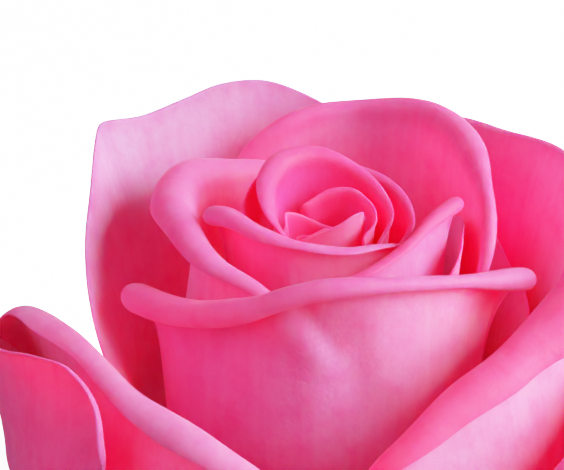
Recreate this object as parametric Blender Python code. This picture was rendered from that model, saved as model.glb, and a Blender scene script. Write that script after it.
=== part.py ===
"""A half-open, large-flowered pink rose, cut just below its hip and standing on the cut.

Every petal is a solid of its own. It grows from a narrow claw on the dome of the hip, swells to its belly
and ends in a rim that rolls outward. The heart petals come first, and each later one lies outside them.
Lengths are in millimetres and angles in degrees: +X is the rose's right, +Y its back and +Z is up.
"""
import math
from dataclasses import dataclass

import bpy
import numpy as np

MM = 0.001

# The dome of the hip is a quarter ellipse from its crown to its foot, and the claws climb it.
CROWN_RADIUS = 3.0
FOOT_RADIUS = 10.2
FOOT_HEIGHT = 12.2
CROWN_HEIGHT = 21.4
CLAW_CLEARANCE = 0.75

# How many steps a claw sits below an earlier one that it lies within this angle of.
CLAW_STEPS = {65.0: 1.15, 120.0: 0.5, 180.0: 0.25}
CLAW_EASE = 0.88

PETAL_THICKNESS = 0.6
LEAST_ROLL = 0.7
END_ROLL = 0.6
ROLL_TIGHTENING = 0.35

# The body runs out from its claw, turns up to the belly, and leans to its rim over these shares of its way.
CLAW_FLARE = 0.35
CLAW_RISE = 0.3
BELLY_EASE = 0.5
HIGHEST_BELLY = 0.5
BELLY_STRETCH = 0.35
RIM_EASE = 0.3
LEAST_OVERHANG = 1.0
LEAST_LEAN = 0.05

# The columns lie closer on the small inner petals, and closest at each end of a rim.
CURVE_POINTS = 400
LEAST_COLUMNS = 4
FINEST_PITCH = 1.0
PITCH_GROWTH = 0.28
END_COLUMN = 2.4
END_COLUMN_SHARE = 0.4
LOWER_ROWS = 3
UPPER_ROWS = 3
LEAST_ROLL_ROWS = 2
TURNS_FOR_MORE_ROWS = (60, 125)
ROLL_SUBSTEPS = 4

# The petals pale from the heart to the outermost, whose belly is the widest.
HEART_PINK = (0.76, 0.07, 0.28)
OUTER_PINK = (0.88, 0.33, 0.56)
WIDEST_BELLY = 43.6
PETAL_ROUGHNESS = 0.62
GREEN = (0.16, 0.26, 0.07)
YELLOW = (0.72, 0.50, 0.12)


@dataclass
class Petal:
    """One petal. Each tuple of values is spaced evenly along the rim, from its first end to its last."""

    name: str
    rim: list
    belly: float
    roll: tuple = (0.8,)
    turn: tuple = (90,)
    flap: tuple = (0,)
    lean: tuple = (5,)
    claw: float = 15.0
    spread: float = 0.45
    belly_rise: float = 13.0
    pitch: float = 5.5
    centre: tuple = (0, 0)


PETALS = [
    Petal("petal_heart_curl",
          [(-3.6, -2.3, 54.6), (-1.6, -2.8, 54.8), (0, -2.3, 55.2), (1.3, -1.5, 55.6)],
          belly=3.1, turn=(40,), centre=(-0.8, 0.6)),
    Petal("petal_heart_left",
          [(1.8, 1.7, 54.4), (0, 2.3, 54.6), (-1.6, 2.3, 55.3), (-3.8, 1.6, 56.5), (-5.6, 0, 57.2),
           (-5.6, -2.2, 56)],
          belly=4.3, turn=(40,), centre=(-1, -0.5)),
    Petal("petal_heart_front",
          [(-3.4, -4.4, 54.6), (0, -4.9, 56.2), (2.3, -4.7, 57.2), (4.4, -3.9, 58.2),
           (5.8, -2.7, 58.3), (6.1, -1.2, 57.2)],
          belly=4.9, turn=(50,)),
    Petal("petal_heart_right",
          [(5.8, -5.6, 56), (7.5, -3.2, 56.8), (7.6, -1, 57.6), (6.5, 2, 57.9), (4.2, 4.5, 58.5),
           (1.1, 5, 58.2), (-2.8, 3.7, 56.5)],
          belly=6.2, turn=(60, 80, 60)),
    Petal("petal_bud_eye",
          [(7.8, -6.6, 55), (9.6, -1.8, 57.3), (8.5, 2.8, 58.3), (5.6, 6.6, 59.8), (0, 8.4, 61.8),
           (-5, 6.9, 61.8), (-7.9, 2, 60.3), (-7.6, -4, 58), (-5, -7.5, 56)],
          belly=8.5, roll=(0.8, 0.8, 1.1, 1.8, 2.0, 1.2), turn=(90, 120, 130, 120, 90),
          lean=(5, 5, 12, 15, 5), belly_rise=12.0),
    Petal("petal_bud_right",
          [(10.3, -5.6, 54), (12.3, -2, 55.3), (12.3, 2, 56.3), (9.7, 7.6, 57.5), (5, 10.4, 58.7),
           (0, 10.6, 59.8), (-3, 10.2, 57)],
          belly=10.0, roll=(0.8, 1.0, 0.8), turn=(90, 120, 90)),
    Petal("petal_bud_left",
          [(-3, 12.2, 56), (-6, 10.7, 58.8), (-9, 7.8, 59.1), (-11.1, 2, 58.1), (-10.9, -3, 57.7),
           (-8.6, -7.2, 55)],
          belly=10.8, turn=(40,)),
    Petal("petal_bud_front",
          [(-15.4, -3.6, 58.7), (-12.4, -6.7, 59.9), (-8.2, -10.2, 59), (-3, -12.2, 58.2),
           (3.5, -12.2, 57.2), (9.0, -9.6, 56.6), (11.8, -6.9, 55)],
          belly=12.4, roll=(1.4, 1.15, 1.0), turn=(220, 170, 110), lean=(50, 5, 5)),
    Petal("petal_cup_right",
          [(-3.4, -15.6, 50), (0, -16.4, 54), (4.8, -15.4, 55.2), (10.9, -11.2, 57.4), (14.5, -7.2, 59.5),
           (18.4, -3, 60.6)],
          belly=16.2, roll=(1.0, 1.0, 1.1), turn=(160, 160, 200), lean=(5, 5, 30)),
    Petal("petal_cup_hidden",
          [(14.6, -12.2, 48), (18.7, -7.6, 54), (19.7, -2, 55.4), (19.5, 3.6, 54.8), (16.8, 10.4, 50.5)],
          belly=17.8, turn=(40,)),
    Petal("petal_cup_left",
          [(-3, 18.2, 51), (-7.4, 17.4, 54.6), (-12.8, 15, 55.5), (-18.8, 10, 56.9), (-20.6, 2, 56.9),
           (-18.8, -6, 57), (-15, -12.2, 55.5), (-9.2, -16.2, 54), (-4.8, -17.4, 51)],
          belly=19.4, roll=(1.6, 3.2, 3.4, 2.2, 1.2), turn=(150, 170, 180), lean=(5, 15, 10)),
    Petal("petal_cup_back",
          [(19.9, -7.6, 46.5), (22, -5.4, 52.8), (22.6, -2.5, 57), (22.4, 2, 59.2),
           (20.8, 11, 61.8), (15.4, 20, 62.8), (6.9, 24, 61.8), (-1, 23.8, 61), (-6.4, 22, 59),
           (-9.9, 21.1, 56), (-12.6, 19.4, 51)],
          belly=20.9, roll=(0.8, 1.1, 1.9, 1.8, 1.6, 1.4), turn=(170, 150, 120)),
    Petal("petal_cup_front",
          [(-26.4, -7.6, 49.2), (-21.3, -13, 49.6), (-15.5, -17.5, 50.8), (-9.5, -20.5, 53.2),
           (-4.4, -22.2, 55.9), (1.4, -22.7, 57.6), (8.5, -21.2, 57.4), (16.5, -17, 55.6),
           (23.4, -12, 53.3), (27.8, -8.5, 51.8)],
          belly=22.4, roll=(2.4, 2.3, 1.9, 1.3, 1.3, 1.4), turn=(230, 220, 230), lean=(65, 0, 0, 0, 65),
          spread=0.3),
    Petal("petal_outer_shadow",
          [(27.8, -6.4, 39), (28.7, -4, 43), (28.4, -1, 45.2), (27.4, 2.2, 46.2), (26.2, 5.4, 47.4),
           (24.8, 8.4, 49.2), (23, 11.6, 50.6), (20, 15.6, 50.4), (16.6, 19, 48), (14, 21.6, 43)],
          belly=24.2, turn=(30,)),
    Petal("petal_outer_left",
          [(10, 25.6, 47), (6.6, 27, 55), (1.4, 28, 59.9), (-2.8, 29, 61.9), (-8.2, 29, 63.7),
           (-14.2, 27, 64), (-19.3, 24.2, 62.9), (-25.2, 20, 62.1), (-30.5, 15, 63.5),
           (-31, 14.2, 63.3), (-31.9, 6, 57.6), (-32.3, -2, 53.4), (-31.6, -8.6, 48.8),
           (-30.2, -12.4, 44), (-27, -15.2, 36)],
          belly=26.0, roll=(0.8, 0.8, 0.8, 0.8, 0.8, 1.0, 0.8),
          turn=(45, 45, 45, 45, 50, 60, 50), lean=(15, 20, 15), pitch=3.8),
    Petal("petal_outer_right",
          [(29, -11.6, 40), (31.8, -8.4, 48.5), (34.8, -4, 56), (36, 3, 60.4), (33.2, 11, 61),
           (26, 20, 59.7), (18.9, 25, 59.4), (12, 28.6, 56), (6, 30, 50), (2, 30.6, 43)],
          belly=29.6, turn=(80,), lean=(20, 20, 15)),
    Petal("petal_fold_right",
          [(6, -32, 33), (9, -32.6, 37), (12.8, -31.2, 39.8), (18, -27.6, 42.8), (23.4, -23.6, 45.4),
           (29, -18.2, 48.6), (35.6, -12.4, 53), (41.4, -5, 53.5), (43.4, 5, 50), (40, 15, 43)],
          belly=34.6, roll=(2.0, 3.2, 3.4, 3.4, 2.6), turn=(150,), flap=(0, 1, 2, 5, 1, 0, 0), lean=(20,),
          spread=0.3, belly_rise=9.5),
    Petal("petal_fold_left",
          [(-40, 5.5, 31), (-40.4, 1.8, 36.4), (-40.4, -2.2, 41.4), (-39.2, -5.8, 45.2),
           (-34.8, -12.6, 45.4), (-30.2, -19, 43.4), (-25.9, -24.2, 41.2), (-21.2, -28, 39.4),
           (-16, -31, 37.6), (-11.4, -33, 35.6), (-5.7, -34.5, 32)],
          belly=32.6, roll=(0.8, 0.9, 2.2, 3.2, 2.8), turn=(95, 100, 140, 160, 150),
          flap=(1, 4.5, 3, 0, 0, 0, 0), lean=(20,), spread=0.24, centre=(-5.5, 0)),
    Petal("petal_base_left",
          [(-43, 13, 30), (-46.4, 6, 36.5), (-47.2, -1.5, 40), (-45.6, -9, 42), (-42, -15.6, 44),
           (-37.6, -21, 46.4), (-33.6, -25.4, 47.2), (-30.4, -27.8, 43.5), (-29.2, -29.4, 36)],
          belly=43.6, turn=(100,), lean=(5,), spread=0.3, belly_rise=8.5),
    Petal("petal_base_front",
          [(-22, -35.5, 22), (-20.5, -39, 28), (-15, -42.2, 33), (-6.5, -44, 35.8), (3, -44, 36),
           (11, -42.4, 34), (17, -39.6, 29.5), (19, -36.4, 23)],
          belly=38.6, roll=(1.6,), turn=(130,), lean=(30,), spread=0.5),
    Petal("petal_base_right",
          [(22, -35.5, 23), (25.6, -35, 29), (31.4, -31, 34.6), (38.6, -22.6, 38.6), (44, -11, 40.4),
           (45.2, 1, 39.6), (44, 6.5, 36), (42.4, 9.5, 29)],
          belly=39.6, roll=(1.6,), turn=(130,), lean=(30,), spread=0.5),
    Petal("petal_base_back_right",
          [(37.4, 12.5, 30), (39.4, 16, 37), (39, 21, 43), (34.4, 28, 47.4), (26, 35.2, 49.8),
           (16.6, 39.8, 48.6), (11, 41.2, 43), (8.5, 39.6, 34)],
          belly=36.4, roll=(1.6,), turn=(130,), lean=(35,), spread=0.5),
    Petal("petal_base_back_left",
          [(3, 38.8, 33), (1, 41.2, 40), (-3.6, 42.6, 46.4), (-11.6, 41.4, 50), (-19.6, 36.6, 50),
           (-26, 29.8, 46), (-29.6, 23, 39), (-30, 19, 31)],
          belly=34.6, roll=(1.6,), turn=(130,), lean=(35,), spread=0.5),
]

# The hip from the cut face up to the foot of its dome, as (radius, height) pairs.
HIP_PROFILE = [(3.0, 0.0), (3.0, 1.8), (3.6, 3.2), (6.0, 5.0), (7.8, 7.6), (8.5, 10.2)]
HIP_SEGMENTS = 20
DOME_STEPS = 5

# A sepal's middle line as (radius, height), from inside the hip to its tip, and its width there.
SEPAL_LINE = [(6.4, 10.4), (10.0, 10.6), (14.6, 9.0), (18.6, 5.6), (22.0, 1.6), (25.2, 0.7), (28.6, 2.2)]
SEPAL_WIDTHS = [5.0, 7.0, 7.6, 6.4, 4.6, 3.0, 1.2]
SEPAL_THICKNESS = 1.0
SEPAL_ARCH = 0.10
SEPALS = 5
SEPAL_TURN = 18.0

STAMEN_SEAT = (2.2, 0.9)
FILAMENTS = 8
FILAMENT_RADIUS = 0.35
FILAMENT_SIDES = 5
FILAMENT_RING = 1.1
ANTHER_RING = 1.65
ANTHER_RADIUS = 0.6
FILAMENT_HEIGHT = 5.5


def along(values, across):
    """The values that are spaced evenly along the rim, read smoothly at each share of the way across."""
    values = np.array(values, float)
    if len(values) == 1:
        return values[0] + 0 * across
    place = across * (len(values) - 1)
    left = np.clip(place.astype(int), 0, len(values) - 2)
    share = place - left
    ease = share * share * (3 - 2 * share)
    return values[left] + (values[left + 1] - values[left]) * ease


def smooth_curve(points):
    """A smooth curve through the given points as many fine ones, and its length up to each of them."""
    p = np.array(points, float)
    step = np.sqrt(np.linalg.norm(np.diff(p, axis=0), axis=1))
    knots = np.concatenate([[0], np.cumsum(step)])
    slopes = np.gradient(p, knots, axis=0, edge_order=1)
    fine = np.linspace(0, knots[-1], CURVE_POINTS)
    i = np.clip(np.searchsorted(knots, fine, "right") - 1, 0, len(p) - 2)
    h = (knots[i + 1] - knots[i])[:, None]
    t = (fine - knots[i])[:, None] / h
    curve = ((2 * t**3 - 3 * t**2 + 1) * p[i] + (t**3 - 2 * t**2 + t) * h * slopes[i]
             + (3 * t**2 - 2 * t**3) * p[i + 1] + (t**3 - t**2) * h * slopes[i + 1])
    length = np.concatenate([[0], np.cumsum(np.linalg.norm(np.diff(curve, axis=0), axis=1))])
    return curve, length


def rim_line(petal):
    """The middle of the rolled rim at each column of the petal, and each column's share across."""
    curve, length = smooth_curve(petal.rim)
    bulk = np.hypot(*np.abs(curve).mean(axis=0)[:2])
    columns = max(LEAST_COLUMNS, round(length[-1] / min(petal.pitch, FINEST_PITCH + PITCH_GROWTH * bulk)))
    cap = min(END_COLUMN, END_COLUMN_SHARE * length[-1] / columns) / length[-1]
    across = np.concatenate([[0], np.linspace(cap, 1 - cap, columns), [1]])
    line = np.stack([np.interp(across * length[-1], length, curve[:, k]) for k in range(3)], axis=1)
    return line, across


def facing(petal):
    """The angle that the middle of the petal faces, in degrees."""
    flat = np.array(petal.rim)[:, :2] - petal.centre
    angle = np.unwrap(np.arctan2(flat[:, 1], flat[:, 0]))
    return math.degrees(angle[0] + angle[-1]) / 2


def claw_shares():
    """How far down the dome each claw sits: below every earlier claw, most where they face the same way."""
    levels = []
    for petal in PETALS:
        under = [0]
        for level, other in zip(levels, PETALS):
            apart = abs((facing(petal) - facing(other) + 180) % 360 - 180)
            under.append(level + next(step for span, step in CLAW_STEPS.items() if apart <= span))
        levels.append(max(under))
    return [(level / max(levels)) ** CLAW_EASE for level in levels]


def dome_point(share, clearance):
    """A place a little above the dome, as (radius, height): share is 0 at the crown and 1 at the foot."""
    angle = share * math.pi / 2
    radius = CROWN_RADIUS + (FOOT_RADIUS - CROWN_RADIUS) * math.sin(angle)
    height = FOOT_HEIGHT + (CROWN_HEIGHT - FOOT_HEIGHT) * math.cos(angle)
    return radius, height + clearance


def unit(v):
    return v / np.maximum(np.linalg.norm(v, axis=-1, keepdims=True), 1e-9)


def bezier(points, t):
    a, b, c, d = points
    return (1 - t)**3 * a + 3 * t * (1 - t)**2 * b + 3 * t * t * (1 - t) * c + t**3 * d


def petal_grid(petal, share):
    """The petal's middle surface as rows of points, from its claw to the end of its rolled rim."""
    axis, across = rim_line(petal)
    ends = (across == 0) | (across == 1)
    radius = np.maximum(along(petal.roll, across) * np.where(ends, END_ROLL, 1.0), LEAST_ROLL)
    turn = np.radians(along(petal.turn, across))
    flap = along(petal.flap, across)
    lean = np.radians(along(petal.lean, across))
    centre = np.array([*petal.centre, 0.0])

    # The body ends where the roll begins, one roll radius inside the rim line.
    radial = unit((axis - centre) * (1, 1, 0))
    climb = np.cos(lean)[:, None] * np.array([0, 0, 1.0]) + np.sin(lean)[:, None] * radial
    outward = np.cross(unit(np.gradient(axis, axis=0)), climb)
    outward = unit(outward * np.sign((outward * radial).sum(1, keepdims=True)))
    end = axis - radius[:, None] * outward
    end_r = np.hypot(*(end - centre)[:, :2].T)
    end_z = end[:, 2]
    end_a = np.unwrap(np.arctan2(end[:, 1] - centre[1], end[:, 0] - centre[0]))

    # The body swells from the claw to the belly, then stands up or leans out to where the roll begins.
    claw_r, claw_z = dome_point(share, CLAW_CLEARANCE)
    way = np.sign(end_a[-1] - end_a[0])
    claw_a = (end_a[0] + end_a[-1]) / 2 + way * math.radians(petal.claw) * (2 * across - 1)
    belly = petal.belly
    belly_z = claw_z + np.minimum(petal.belly_rise, HIGHEST_BELLY * (end_z - claw_z))
    lift = belly_z - claw_z
    upper = end_z - belly_z
    overhang = np.maximum(end_r - belly, LEAST_OVERHANG)
    handle = np.minimum(RIM_EASE * upper, overhang / np.maximum(np.sin(lean), LEAST_LEAN))
    low = np.linspace(0, 1, LOWER_ROWS + 1)[:-1, None]
    high = np.linspace(0, 1, UPPER_ROWS + 1)[:, None]
    r = np.concatenate([
        bezier((claw_r, claw_r + CLAW_FLARE * (belly - claw_r), belly, belly), low + 0 * across),
        bezier((belly, belly, end_r - handle * np.sin(lean), end_r), high)])
    z = np.concatenate([
        bezier((claw_z, claw_z + CLAW_RISE * lift, belly_z - BELLY_EASE * lift, belly_z), low),
        bezier((belly_z, belly_z + BELLY_STRETCH * upper, end_z - handle * np.cos(lean), end_z), high)])
    rise = np.concatenate([low / 2, 0.5 + high / 2])
    a = claw_a + (end_a - claw_a) * (1 - (1 - rise) ** (1 / petal.spread))
    body = np.stack([r * np.cos(a) + centre[0] * rise, r * np.sin(a) + centre[1] * rise, z + 0 * a], axis=2)

    # The roll is walked in small steps that turn from upright to outward and down again.
    tangent = unit(np.gradient(end, axis=0))
    onward = unit(climb - (climb * tangent).sum(1, keepdims=True) * tangent)
    outward = np.cross(tangent, onward)
    outward = outward * np.sign((outward * radial).sum(1, keepdims=True))
    rows = LEAST_ROLL_ROWS + sum(max(petal.turn) > turn_past for turn_past in TURNS_FOR_MORE_ROWS)
    rolled = [end]
    for row in range(rows):
        point = rolled[-1]
        for step in range(ROLL_SUBSTEPS):
            s = (row + (step + 0.5) / ROLL_SUBSTEPS) / rows
            angle = (turn * s)[:, None]
            stride = (turn * radius * (1 - ROLL_TIGHTENING * s) + flap * 2 * s) / (rows * ROLL_SUBSTEPS)
            point = point + stride[:, None] * (np.cos(angle) * onward + np.sin(angle) * outward)
        rolled.append(point)
    return np.concatenate([body, np.array(rolled[1:])])


def add_object(name, points, faces):
    """A mesh object of the given points, in millimetres, and faces."""
    mesh = bpy.data.meshes.new(name)
    mesh.from_pydata((np.array(points, float) * MM).tolist(), [], faces)
    mesh.update()
    mesh.shade_smooth()
    obj = bpy.data.objects.new(name, mesh)
    bpy.context.scene.collection.objects.link(obj)
    return obj


def add_sheet(name, grid, thickness):
    """A grid of points made a sheet of triangles, thickened evenly to both sides."""
    rows, columns, _ = grid.shape
    faces = []
    for row in range(rows - 1):
        for column in range(columns - 1):
            a = row * columns + column
            b, c, d = a + 1, a + columns + 1, a + columns
            faces += [(a, b, c), (a, c, d)] if (row + column) % 2 else [(a, b, d), (b, c, d)]
    obj = add_object(name, grid.reshape(-1, 3), faces)
    solid = obj.modifiers.new("thickness", "SOLIDIFY")
    solid.thickness = thickness * MM
    solid.offset = 0
    return obj


def add_turned(name, rings, sides):
    """A closed solid through level rings, each an (x, y, z, radius), from bottom to top."""
    points = []
    for x, y, z, radius in rings:
        for side in range(sides):
            angle = 2 * math.pi * side / sides
            points.append((x + radius * math.cos(angle), y + radius * math.sin(angle), z))
    faces = [tuple(reversed(range(sides)))]
    for ring in range(len(rings) - 1):
        for side in range(sides):
            a = ring * sides + side
            b = ring * sides + (side + 1) % sides
            faces.append((a, b, b + sides, a + sides))
    faces.append(tuple(range((len(rings) - 1) * sides, len(rings) * sides)))
    return add_object(name, points, faces)


def fuse(obj, others):
    """Joins the other solids to the object in one union, applies it and removes them."""
    group = bpy.data.collections.new(obj.name + "_others")
    for other in others:
        group.objects.link(other)
    union = obj.modifiers.new("union", "BOOLEAN")
    union.operation = "UNION"
    union.operand_type = "COLLECTION"
    union.collection = group
    union.solver = "EXACT"
    joined = bpy.data.meshes.new_from_object(obj.evaluated_get(bpy.context.evaluated_depsgraph_get()))
    obj.modifiers.clear()
    obj.data = joined
    joined.shade_smooth()
    for other in others:
        bpy.data.objects.remove(other)
    bpy.data.collections.remove(group)


def add_calyx():
    """The hip with its stub of stem, and the five sepals that bend down from it to the surface."""
    rings = [(0, 0, z, r) for r, z in HIP_PROFILE]
    for step in range(DOME_STEPS + 1):
        r, z = dome_point(1 - step / DOME_STEPS, 0)
        rings.append((0, 0, z, r - 0.5))
    hip = add_turned("calyx", rings, HIP_SEGMENTS)
    line = np.array(SEPAL_LINE)
    width = np.array(SEPAL_WIDTHS)
    sepals = []
    for number in range(SEPALS):
        turned = math.radians(SEPAL_TURN + 360 * number / SEPALS)
        rows = []
        for (r, z), w in zip(line, width):
            row = []
            for side in (-0.5, -0.25, 0, 0.25, 0.5):
                sideways = side * w
                drop = SEPAL_ARCH * w * (2 * side) ** 2
                row.append((r * math.cos(turned) - sideways * math.sin(turned),
                            r * math.sin(turned) + sideways * math.cos(turned), z + drop))
            rows.append(row)
        sepals.append(add_sheet("sepal", np.array(rows), SEPAL_THICKNESS))
    fuse(hip, sepals)
    return hip


def add_stamens():
    """A small cushion with a ring of stamens, shut inside the heart."""
    seat_radius, seat_height = STAMEN_SEAT
    floor = CROWN_HEIGHT + 0.3
    seat = [(0, 0, floor, seat_radius), (0, 0, floor + seat_height, 0.7 * seat_radius)]
    cushion = add_turned("stamens", seat, 12)
    filaments = []
    for number in range(FILAMENTS):
        angle = 2 * math.pi * number / FILAMENTS
        cos, sin = math.cos(angle), math.sin(angle)
        foot = floor + seat_height / 2
        top = foot + FILAMENT_HEIGHT
        rings = [(FILAMENT_RING * cos, FILAMENT_RING * sin, foot, FILAMENT_RADIUS),
                 (ANTHER_RING * cos, ANTHER_RING * sin, top, FILAMENT_RADIUS),
                 (ANTHER_RING * cos, ANTHER_RING * sin, top + 0.6, ANTHER_RADIUS),
                 (ANTHER_RING * cos, ANTHER_RING * sin, top + 1.4, 0.6 * ANTHER_RADIUS)]
        filaments.append(add_turned("filament", rings, FILAMENT_SIDES))
    fuse(cushion, filaments)
    return cushion


def paint(obj, colour, roughness):
    """Gives the object a plain material of its own."""
    material = bpy.data.materials.new(obj.name)
    material.use_nodes = True
    shader = material.node_tree.nodes["Principled BSDF"]
    shader.inputs["Base Color"].default_value = (*colour, 1)
    shader.inputs["Roughness"].default_value = roughness
    shader.inputs["Metallic"].default_value = 0.0
    obj.data.materials.append(material)


def main():
    for old in list(bpy.data.objects):
        bpy.data.objects.remove(old)
    for petal, share in zip(PETALS, claw_shares()):
        pale = petal.belly / WIDEST_BELLY
        colour = [deep + (light - deep) * pale for deep, light in zip(HEART_PINK, OUTER_PINK)]
        paint(add_sheet(petal.name, petal_grid(petal, share), PETAL_THICKNESS), colour, PETAL_ROUGHNESS)
    paint(add_calyx(), GREEN, 0.7)
    paint(add_stamens(), YELLOW, 0.8)


main()
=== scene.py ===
"""A half-open pink rose on its hip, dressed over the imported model, with a floor, soft lights and a camera.

Lengths are in millimetres and angles in degrees. Seen from in front, +X is right, +Y back and +Z up.
The petals come first, from the heart outward, then the hip, the sepals, the stamens and the stage.
"""

import math

import bpy
import numpy as np
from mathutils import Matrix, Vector


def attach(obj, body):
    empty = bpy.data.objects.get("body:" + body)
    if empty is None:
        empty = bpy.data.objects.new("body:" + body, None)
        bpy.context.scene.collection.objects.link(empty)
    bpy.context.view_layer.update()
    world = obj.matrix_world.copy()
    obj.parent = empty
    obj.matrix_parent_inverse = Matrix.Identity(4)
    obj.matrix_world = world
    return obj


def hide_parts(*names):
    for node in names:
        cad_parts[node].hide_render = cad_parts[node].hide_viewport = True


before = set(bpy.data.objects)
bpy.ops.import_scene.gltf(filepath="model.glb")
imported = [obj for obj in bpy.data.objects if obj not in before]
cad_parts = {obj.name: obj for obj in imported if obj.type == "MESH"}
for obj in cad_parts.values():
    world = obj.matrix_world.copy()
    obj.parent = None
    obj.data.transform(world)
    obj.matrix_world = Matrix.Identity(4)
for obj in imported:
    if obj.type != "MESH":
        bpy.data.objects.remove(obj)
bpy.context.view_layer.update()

# The furled heart
# Four small deep pink petals, furled round each other over the stamens and hardly opened.
# Each is one thin sheet that grows from a narrow claw on the hip's dome, with a blunt edge all round.
MM = 0.001
NEARLY_NOTHING = 1e-9

# The dome, and how the claws step down it by how far apart two petals face.
CROWN_RADIUS = 3.0
CROWN_HEIGHT = 21.4
FOOT_RADIUS = 10.2
FOOT_HEIGHT = 12.2
CLAW_CLEARANCE = 0.75
CLAW_STEPS = {65.0: 1.15, 120.0: 0.5, 180.0: 0.25}
CLAW_EASE = 0.88
LOWEST_CLAW = 15.25
CLAW_HALF_WIDTH = 15.0

# How a petal swells from its claw to its belly, stands up to its rim and rolls over.
CLAW_FLARE = 0.35
CLAW_RISE = 0.3
BELLY_EASE = 0.5
HIGHEST_BELLY = 0.5
BELLY_STRETCH = 0.35
RIM_EASE = 0.3
LEAST_OVERHANG = 1.0
LEAST_LEAN = 0.05
ROLL_TIGHTENING = 0.35
TIP_LENGTH = 1.3
TIP_SHARE = 0.12
TIP_INSET = 0.25

# How thick the sheet is, and how finely it is laid.
PETAL_THICKNESS = 0.36
BLUNT_EDGE = 0.22
EDGE_STEPS = (0.0, 0.02, 0.07, 0.14, 0.22)
TIP_STEPS = (0.4, 0.65, 1.0, 1.4, 1.9, 2.5)
TIP_REACH = 0.2
LINE_POINTS = 1200
LEAST_COLUMNS = 6
LOWER_ROWS = 9
UPPER_ROWS = 26
ROLL_ROWS = 14
ROLL_STEPS = 96

# The faint unevenness of growth.
UNEVENNESS = 0.16
UNEVEN_WIDTH = 60.0
UNEVEN_DEPTH = 14
UNEVEN_WAVES = (1.5, 2.7, 4.6)
UNEVEN_SLANT = 0.12
UNEVEN_BEND = 0.5
UNEVEN_BEND_RATE = 0.2

claws = []


def spaced(values, across):
    """Values spaced evenly along a petal's rim, read smoothly at each share of the way across."""
    values = np.array(values, float)
    if len(values) == 1:
        return values[0] + 0 * across
    place = across * (len(values) - 1)
    left = np.clip(place.astype(int), 0, len(values) - 2)
    share = place - left
    ease = share * share * (3 - 2 * share)
    return values[left] + (values[left + 1] - values[left]) * ease


def smooth_line(points):
    """A smooth line through the points as many fine ones, and its length up to each of them."""
    p = np.array(points, float)
    step = np.sqrt(np.linalg.norm(np.diff(p, axis=0), axis=1))
    knots = np.concatenate([[0], np.cumsum(step)])
    slopes = np.gradient(p, knots, axis=0, edge_order=1)
    fine = np.linspace(0, knots[-1], LINE_POINTS)
    i = np.clip(np.searchsorted(knots, fine, "right") - 1, 0, len(p) - 2)
    h = (knots[i + 1] - knots[i])[:, None]
    t = (fine - knots[i])[:, None] / h
    line = ((2 * t**3 - 3 * t**2 + 1) * p[i] + (t**3 - 2 * t**2 + t) * h * slopes[i]
            + (3 * t**2 - 2 * t**3) * p[i + 1] + (t**3 - t**2) * h * slopes[i + 1])
    length = np.concatenate([[0], np.cumsum(np.linalg.norm(np.diff(line, axis=0), axis=1))])
    return line, length


def claw_share(rim, centre):
    """How far down the dome the next claw sits: below every earlier one, most where they face alike."""
    flat = np.array(rim)[:, :2] - centre
    angle = np.unwrap(np.arctan2(flat[:, 1], flat[:, 0]))
    facing = math.degrees(angle[0] + angle[-1]) / 2
    level = 0
    for other_facing, other_level in claws:
        apart = abs((facing - other_facing + 180) % 360 - 180)
        step = next(step for span, step in CLAW_STEPS.items() if apart <= span)
        level = max(level, other_level + step)
    claws.append((facing, level))
    return (level / LOWEST_CLAW) ** CLAW_EASE


def dome_point(share, clearance):
    """A place a little above the dome, as (radius, height): share is 0 at the crown and 1 at the foot."""
    angle = share * math.pi / 2
    radius = CROWN_RADIUS + (FOOT_RADIUS - CROWN_RADIUS) * math.sin(angle)
    height = FOOT_HEIGHT + (CROWN_HEIGHT - FOOT_HEIGHT) * math.cos(angle)
    return radius, height + clearance


def unit(v):
    """The vectors, each at length one."""
    return v / np.maximum(np.linalg.norm(v, axis=-1, keepdims=True), NEARLY_NOTHING)


def bezier(points, t):
    """The place on the curve between four control values at each share of its way."""
    a, b, c, d = points
    return (1 - t)**3 * a + 3 * t * (1 - t)**2 * b + 3 * t * t * (1 - t) * c + t**3 * d


def between_edges(length, pitch):
    """Places from 0 to the length: close together near both edges, where the roll closes round."""
    steps = np.array(EDGE_STEPS + TIP_STEPS)
    steps = steps[steps < TIP_REACH * length]
    inner = np.linspace(steps[-1], length - steps[-1], max(LEAST_COLUMNS, round(length / pitch)))
    return np.concatenate([steps[:-1], inner, (length - steps[:-1])[::-1]])


def outward_normals(grid):
    """The direction that the petal's outer face looks in, at each point of its middle surface."""
    along = np.gradient(grid, axis=0)
    across = np.gradient(grid, axis=1)
    normal = unit(np.cross(across, along))
    rows = len(grid) // 2
    radial = grid[rows] * (1, 1, 0)
    return normal * np.sign((normal[rows] * radial).sum())


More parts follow.
